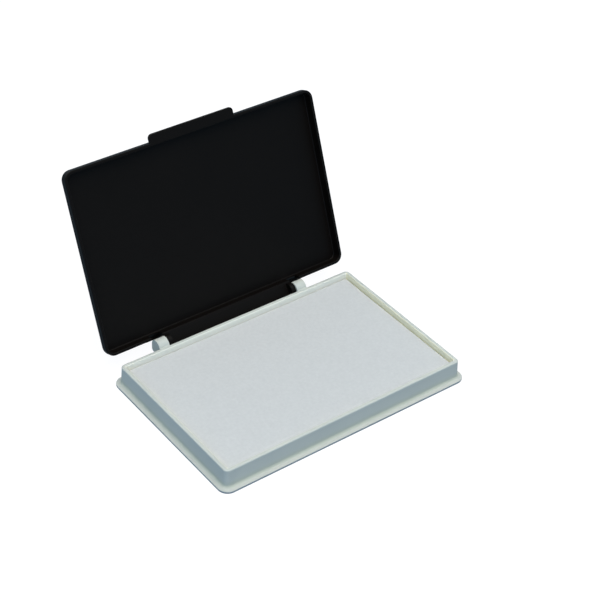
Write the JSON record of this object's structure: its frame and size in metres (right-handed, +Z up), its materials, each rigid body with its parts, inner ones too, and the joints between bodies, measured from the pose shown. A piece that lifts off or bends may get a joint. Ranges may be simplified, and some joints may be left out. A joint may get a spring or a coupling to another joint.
{
  "type": "ink pad",
  "caption": "Rectangular stamping ink pad in a flanged plastic tray, with a shallow hinged lid that has a thumb tab and stands open past upright.",
  "frame": {"origin": "on the flat underside of the tray, at the middle of the tray", "axes": "+X along the hinge, to the right seen from the thumb tab; +Y from the front of the tray to the hinge; +Z up"},
  "size_m": [0.1186, 0.1135, 0.0851],
  "materials": {
    "tray_plastic": "satin",
    "backing_card": "matte",
    "felt": "matte",
    "pad_fabric": "matte",
    "lid_plastic": "satin"
  },
  "bodies": {
    "tray": {"base_tray": "tray_plastic", "backing_board": "backing_card", "felt_core": "felt", "pad_cloth": "pad_fabric"},
    "lid": {"lid": "lid_plastic"}
  },
  "joints": [
    {"name": "lid_hinge", "type": "hinge", "parent": "tray", "child": "lid", "pos_m": [0, 0.041, 0.0079], "axis": [1, 0, 0], "range_deg": [0, 111.5]}
  ]
}
